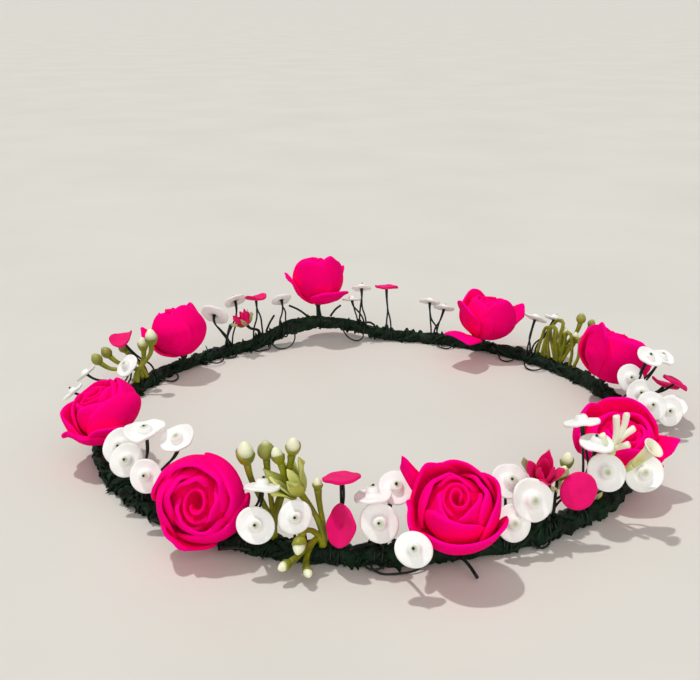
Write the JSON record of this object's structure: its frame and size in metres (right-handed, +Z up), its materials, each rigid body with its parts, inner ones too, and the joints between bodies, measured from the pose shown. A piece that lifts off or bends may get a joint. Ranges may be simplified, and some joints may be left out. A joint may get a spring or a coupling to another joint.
{
  "type": "flower crown",
  "caption": "Round wire hair crown wrapped in green floral tape, carrying pink foam roses, small white and pink foam disc flowers on wires and green bud sprigs.",
  "frame": {"origin": "centre of the hoop, on the flat surface that the band rests on", "axes": "+Z up through the hoop, the way a head enters from below; -Y is the front, +Y is the side where the band's ends overlap"},
  "size_m": [0.2157, 0.2167, 0.0355],
  "materials": {
    "core_wire": "dark green coated iron wire",
    "tape": "dark green waxed crepe floral tape, crumpled and twisted",
    "rose_foam": "soft hot pink foam sheet with a faint magenta sheen",
    "rose_heart": "rolled hot pink foam",
    "wire": "dark green enamelled florist's wire",
    "white_foam": "warm white foam discs on dark green wire",
    "pink_foam": "hot pink foam discs on dark green wire",
    "sprig": "olive green moulded plastic with pale tips"
  },
  "bodies": {
    "band": {"hoop_wire": "core_wire", "tape_stretch_1": "tape", "tape_stretch_2": "tape", "tape_stretch_3": "tape", "tape_stretch_4": "tape", "tape_stretch_5": "tape", "tape_stretch_6": "tape", "tape_stretch_7": "tape", "tape_stretch_8": "tape", "rose_1_stem": "wire", "rose_2_stem": "wire", "rose_3_stem": "wire", "rose_4_stem": "wire", "rose_5_stem": "wire", "rose_6_stem": "wire", "rose_7_stem": "wire", "rose_8_stem": "wire", "disc_spray_1": "white_foam", "disc_spray_2": "white_foam", "disc_spray_3": "white_foam", "disc_spray_4": "white_foam", "disc_spray_5": "white_foam", "disc_spray_6": "white_foam", "disc_spray_7": "white_foam", "disc_spray_8": "white_foam", "disc_spray_9": "white_foam", "disc_spray_10": "white_foam", "disc_spray_11": "white_foam", "disc_spray_12": "white_foam", "disc_spray_13": "white_foam", "disc_spray_14": "white_foam", "pink_spray_1": "pink_foam", "pink_spray_2": "pink_foam", "pink_spray_3": "pink_foam", "pink_spray_4": "pink_foam", "pink_spray_5": "pink_foam", "pink_spray_6": "pink_foam", "bud_sprig_1": "sprig", "bud_sprig_2": "sprig", "bud_sprig_3": "sprig", "bud_sprig_4": "sprig", "bud_sprig_5": "sprig", "bud_sprig_6": "sprig", "wire_tail": "wire"},
    "rose_1": {"rose_1_petals": "rose_foam", "rose_1_bud": "rose_heart"},
    "rose_2": {"rose_2_petals": "rose_foam", "rose_2_bud": "rose_heart"},
    "rose_3": {"rose_3_petals": "rose_foam", "rose_3_bud": "rose_heart"},
    "rose_4": {"rose_4_petals": "rose_foam", "rose_4_bud": "rose_heart"},
    "rose_5": {"rose_5_petals": "rose_foam", "rose_5_bud": "rose_heart"},
    "rose_6": {"rose_6_petals": "rose_foam", "rose_6_bud": "rose_heart"},
    "rose_7": {"rose_7_petals": "rose_foam", "rose_7_bud": "rose_heart"},
    "rose_8": {"rose_8_petals": "rose_foam", "rose_8_bud": "rose_heart"}
  },
  "joints": [
    {"name": "rose_1_tilt", "type": "hinge", "parent": "band", "child": "rose_1", "pos_m": [-0.08059, -0.02541, 0.00928], "axis": [0.3007, -0.9537, 0], "range_deg": [-20, 12]},
    {"name": "rose_2_tilt", "type": "hinge", "parent": "band", "child": "rose_2", "pos_m": [-0.04635, -0.07715, 0.01368], "axis": [0.8572, -0.515, 0], "range_deg": [-10, 10]},
    {"name": "rose_3_tilt", "type": "hinge", "parent": "band", "child": "rose_3", "pos_m": [0.01775, -0.09129, 0.01218], "axis": [0.9816, 0.1908, 0], "range_deg": [-15, 20]},
    {"name": "rose_4_tilt", "type": "hinge", "parent": "band", "child": "rose_4", "pos_m": [0.06998, -0.05084, 0.01088], "axis": [0.5878, 0.809, 0], "range_deg": [-20, 15]},
    {"name": "rose_5_tilt", "type": "hinge", "parent": "band", "child": "rose_5", "pos_m": [0.0851, 0.01809, 0.00868], "axis": [-0.2079, 0.9781, 0], "range_deg": [-20, 20]},
    {"name": "rose_6_tilt", "type": "hinge", "parent": "band", "child": "rose_6", "pos_m": [0.04937, 0.06796, 0.00768], "axis": [-0.809, 0.5878, 0], "range_deg": [-20, 18]},
    {"name": "rose_7_tilt", "type": "hinge", "parent": "band", "child": "rose_7", "pos_m": [-0.01775, 0.09129, 0.01608], "axis": [-0.9816, -0.1908, 0], "range_deg": [-18, 20]},
    {"name": "rose_8_tilt", "type": "hinge", "parent": "band", "child": "rose_8", "pos_m": [-0.06923, 0.04758, 0.00878], "axis": [-0.5664, -0.8241, 0], "range_deg": [-20, 12]}
  ]
}
